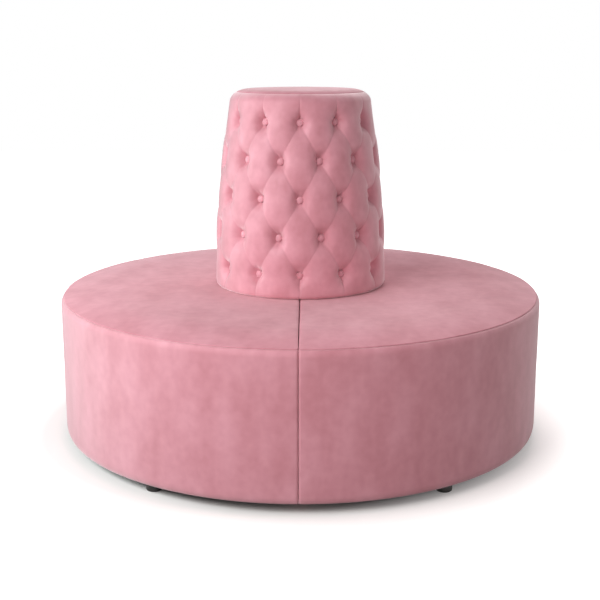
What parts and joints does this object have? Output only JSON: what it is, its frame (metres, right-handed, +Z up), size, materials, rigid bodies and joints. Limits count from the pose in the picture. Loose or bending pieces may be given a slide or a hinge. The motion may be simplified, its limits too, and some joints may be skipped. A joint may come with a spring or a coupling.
{
  "type": "round banquette sofa",
  "caption": "Round two-part banquette upholstered in velvet, with a central tapered back that is deep-buttoned in a diamond pattern, on short black feet.",
  "frame": {"origin": "on the floor in the middle of the sofa, which is the centre of the bounding box's underside", "axes": "+Z up; -Y to the pictured front, where the split between the seat halves shows; +X to the right as seen from the front; the split lies in the plane X = 0"},
  "size_m": [1.44, 1.4398, 1.035],
  "materials": {
    "velvet": "dusty pink velvet with a short pile",
    "foam": "open-cell upholstery foam and wadding",
    "plywood": "raw plywood",
    "dust_cloth": "black non-woven lining",
    "black_plastic": "moulded black plastic",
    "steel": "zinc-plated steel"
  },
  "bodies": {
    "root": {"back_base_board": "plywood", "back_bolt_front_left": "steel", "back_bolt_front_right": "steel", "back_bolt_rear_left": "steel", "back_bolt_rear_right": "steel", "back_cover": "velvet", "back_foam": "foam", "back_former": "plywood", "back_post_1": "plywood", "back_post_2": "plywood", "back_post_3": "plywood", "back_post_4": "plywood", "back_skin": "plywood", "back_top_board": "plywood", "back_top_cover": "velvet", "back_top_pad": "foam", "band_cover_left": "velvet", "band_cover_right": "velvet", "base_board_left": "plywood", "base_board_right": "plywood", "deck_board_left": "plywood", "deck_board_right": "plywood", "dust_cover_left": "dust_cloth", "dust_cover_right": "dust_cloth", "foot_inner_front_left": "black_plastic", "foot_inner_front_right": "black_plastic", "foot_inner_rear_left": "black_plastic", "foot_inner_rear_right": "black_plastic", "foot_outer_front_left": "black_plastic", "foot_outer_front_right": "black_plastic", "foot_outer_middle_left": "black_plastic", "foot_outer_middle_right": "black_plastic", "foot_outer_rear_left": "black_plastic", "foot_outer_rear_right": "black_plastic", "joining_plate_front": "steel", "joining_plate_rear": "steel", "joint_cover_left": "velvet", "joint_cover_right": "velvet", "joint_panel_left": "plywood", "joint_panel_right": "plywood", "plate_screw_front_left": "steel", "plate_screw_front_right": "steel", "plate_screw_rear_left": "steel", "plate_screw_rear_right": "steel", "rib_front_left": "plywood", "rib_front_right": "plywood", "rib_middle_left": "plywood", "rib_middle_right": "plywood", "rib_rear_left": "plywood", "rib_rear_right": "plywood", "seat_cover_left": "velvet", "seat_cover_right": "velvet", "seat_foam_left": "foam", "seat_foam_right": "foam", "skirt_panel_left": "plywood", "skirt_panel_right": "plywood", "skirt_wadding_left": "foam", "skirt_wadding_right": "foam"}
  },
  "joints": []
}
